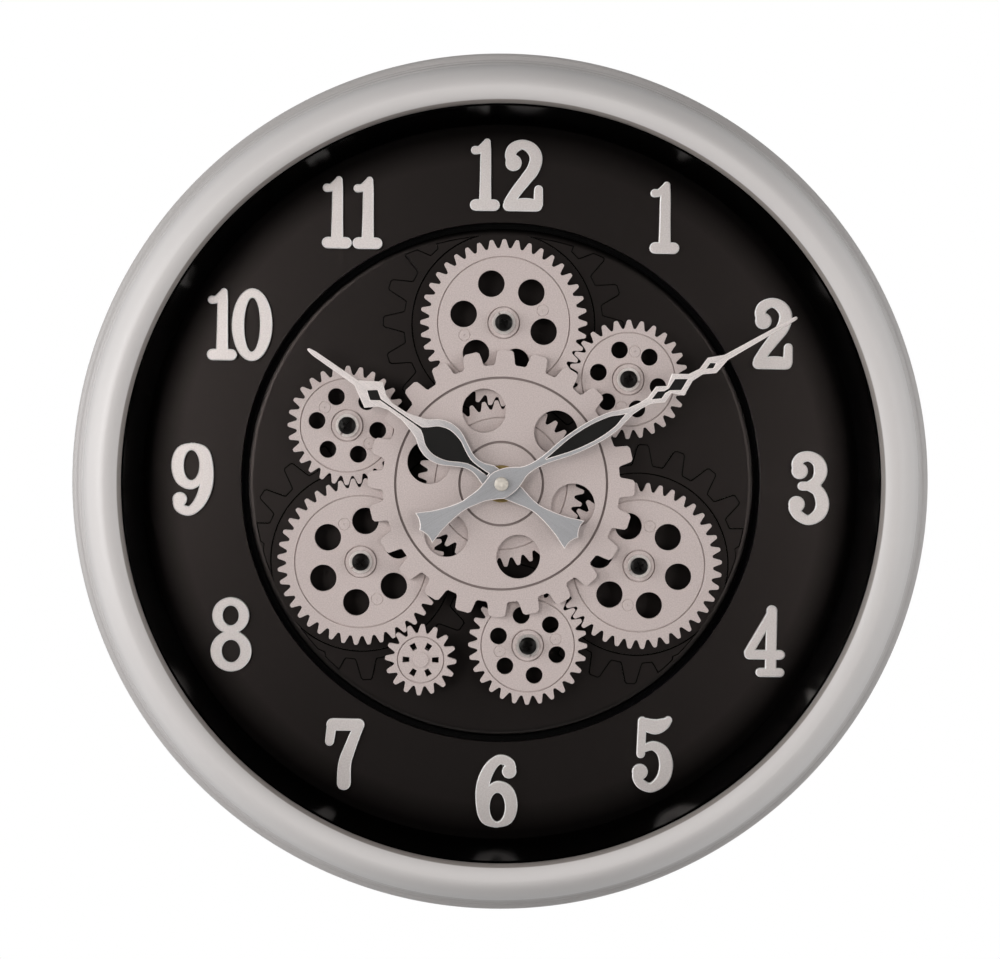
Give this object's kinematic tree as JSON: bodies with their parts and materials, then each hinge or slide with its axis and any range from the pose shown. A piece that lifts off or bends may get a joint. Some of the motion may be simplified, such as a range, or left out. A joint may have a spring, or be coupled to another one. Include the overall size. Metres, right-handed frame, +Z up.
{
  "type": "gear wall clock",
  "caption": "Round wall clock with a rounded metal rim, raised numerals on a black dial, two pierced hands and an open train of meshing display gears behind glass.",
  "frame": {"origin": "on the wall plane, level with the axis of the hands", "axes": "+Y into the wall along the axis of the hands, +Z up towards the 12, +X to the right seen from the front"},
  "size_m": [0.46, 0.078, 0.46],
  "materials": {
    "silver_paint": "satin silver paint on spun sheet metal",
    "numeral_silver": "satin silver",
    "clear_glass": "clear, polished",
    "black_gloss": "glossy black",
    "board_black": "fibreboard painted black",
    "black_satin": "satin black",
    "gear_metal": "fine textured warm silver",
    "plated_steel": "nickel plated",
    "black_steel": "black oxide",
    "brass": "bare brass",
    "black_plastic": "matt black",
    "white_plastic": "natural acetal",
    "circuit_green": "solder mask",
    "cell_jacket": "printed jacket, left plain",
    "hand_metal": "brushed"
  },
  "bodies": {
    "case": {"rim": "silver_paint", "glass": "clear_glass", "glass_retainer": "black_gloss", "inner_wall": "black_gloss", "dial_board": "board_black", "numeral_ring": "black_satin", "centre_disc": "black_satin", "numeral_1": "numeral_silver", "numeral_2": "numeral_silver", "numeral_3": "numeral_silver", "numeral_4": "numeral_silver", "numeral_5": "numeral_silver", "numeral_6": "numeral_silver", "numeral_7": "numeral_silver", "numeral_8": "numeral_silver", "numeral_9": "numeral_silver", "numeral_10": "numeral_silver", "numeral_11": "numeral_silver", "numeral_12": "numeral_silver", "board_brackets": "plated_steel", "case_screws": "plated_steel", "hanger": "plated_steel", "gear_posts": "plated_steel", "spring_washers": "plated_steel", "centre_sleeve": "plated_steel", "drive_motor": "plated_steel", "battery_contacts": "plated_steel", "gear_screws": "black_steel", "centre_washer": "brass", "centre_nut": "brass", "movement_stem": "brass", "movement_case": "black_plastic", "movement_cover": "black_plastic", "drive_case": "black_plastic", "drive_cover": "black_plastic", "movement_circuit": "circuit_green", "movement_cell": "cell_jacket", "drive_cell": "cell_jacket"},
    "centre_gears": {"coarse_gear": "gear_metal", "centre_gear": "gear_metal"},
    "top_gear": {"top_gear": "gear_metal"},
    "right_gear": {"right_gear": "gear_metal"},
    "left_gear": {"left_gear": "gear_metal"},
    "small_gear_right": {"small_gear_right": "gear_metal"},
    "small_gear_bottom": {"small_gear_bottom": "gear_metal"},
    "small_gear_left": {"small_gear_left": "gear_metal"},
    "pinion_set": {"drive_pinion": "gear_metal", "drive_shaft": "plated_steel"},
    "motor_rotor": {"motor_pinion": "brass"},
    "minute": {"minute_hand": "hand_metal", "minute_hand_infill": "black_satin", "hand_cap": "plated_steel", "minute_shaft": "plated_steel"},
    "hour": {"hour_hand": "hand_metal", "hour_hand_infill": "black_satin", "hour_tube": "white_plastic"},
    "motion_wheel": {"motion_wheel": "white_plastic"},
    "setting_knob": {"setting_knob": "black_plastic"},
    "drive_switch": {"drive_switch": "white_plastic"}
  },
  "joints": [
    {"name": "centre_gears_spin", "type": "hinge", "parent": "case", "child": "centre_gears", "pos_m": [0, -0.0465, 0], "axis": [0, 1, 0], "continuous": true},
    {"name": "top_gear_spin", "type": "hinge", "parent": "case", "child": "top_gear", "pos_m": [0, -0.0465, 0.085], "axis": [0, 1, 0], "continuous": true},
    {"name": "right_gear_spin", "type": "hinge", "parent": "case", "child": "right_gear", "pos_m": [0.07361, -0.0465, -0.0425], "axis": [0, 1, 0], "continuous": true},
    {"name": "left_gear_spin", "type": "hinge", "parent": "case", "child": "left_gear", "pos_m": [-0.07361, -0.0465, -0.0425], "axis": [0, 1, 0], "continuous": true},
    {"name": "small_gear_right_spin", "type": "hinge", "parent": "case", "child": "small_gear_right", "pos_m": [0.0664, -0.0465, 0.05613], "axis": [0, 1, 0], "continuous": true},
    {"name": "small_gear_bottom_spin", "type": "hinge", "parent": "case", "child": "small_gear_bottom", "pos_m": [0.01541, -0.0465, -0.08557], "axis": [0, 1, 0], "continuous": true},
    {"name": "small_gear_left_spin", "type": "hinge", "parent": "case", "child": "small_gear_left", "pos_m": [-0.08181, -0.0465, 0.02943], "axis": [0, 1, 0], "continuous": true},
    {"name": "pinion_set_spin", "type": "hinge", "parent": "case", "child": "pinion_set", "pos_m": [-0.04116, -0.03, -0.09403], "axis": [0, 1, 0], "continuous": true},
    {"name": "motor_rotor_spin", "type": "hinge", "parent": "case", "child": "motor_rotor", "pos_m": [-0.02896, -0.014, -0.09403], "axis": [0, 1, 0], "continuous": true},
    {"name": "minute_spin", "type": "hinge", "parent": "case", "child": "minute", "pos_m": [0, -0.04, 0], "axis": [0, 1, 0], "continuous": true},
    {"name": "hour_spin", "type": "hinge", "parent": "case", "child": "hour", "pos_m": [0, -0.04, 0], "axis": [0, 1, 0], "continuous": true},
    {"name": "motion_wheel_spin", "type": "hinge", "parent": "case", "child": "motion_wheel", "pos_m": [0.00999, -0.014, 0.007], "axis": [0, 1, 0], "continuous": true},
    {"name": "setting_knob_spin", "type": "hinge", "parent": "case", "child": "setting_knob", "pos_m": [0.02146, -0.006, 0.00282], "axis": [0, 1, 0], "continuous": true},
    {"name": "drive_switch_slide", "type": "slide", "parent": "case", "child": "drive_switch", "axis": [1, 0, 0], "range_m": [0, 0.003]}
  ],
  "couplings": [
    {"joint": "top_gear_spin", "follows": "centre_gears_spin", "ratio": -1},
    {"joint": "right_gear_spin", "follows": "centre_gears_spin", "ratio": -1},
    {"joint": "left_gear_spin", "follows": "centre_gears_spin", "ratio": -1},
    {"joint": "small_gear_right_spin", "follows": "centre_gears_spin", "ratio": 1.4286},
    {"joint": "small_gear_bottom_spin", "follows": "centre_gears_spin", "ratio": 1.4286},
    {"joint": "small_gear_left_spin", "follows": "centre_gears_spin", "ratio": 1.4286},
    {"joint": "pinion_set_spin", "follows": "centre_gears_spin", "ratio": 2.5},
    {"joint": "motor_rotor_spin", "follows": "centre_gears_spin", "ratio": -7.5},
    {"joint": "hour_spin", "follows": "minute_spin", "ratio": 0.083333},
    {"joint": "motion_wheel_spin", "follows": "minute_spin", "ratio": -0.33333},
    {"joint": "setting_knob_spin", "follows": "minute_spin", "ratio": 1}
  ]
}
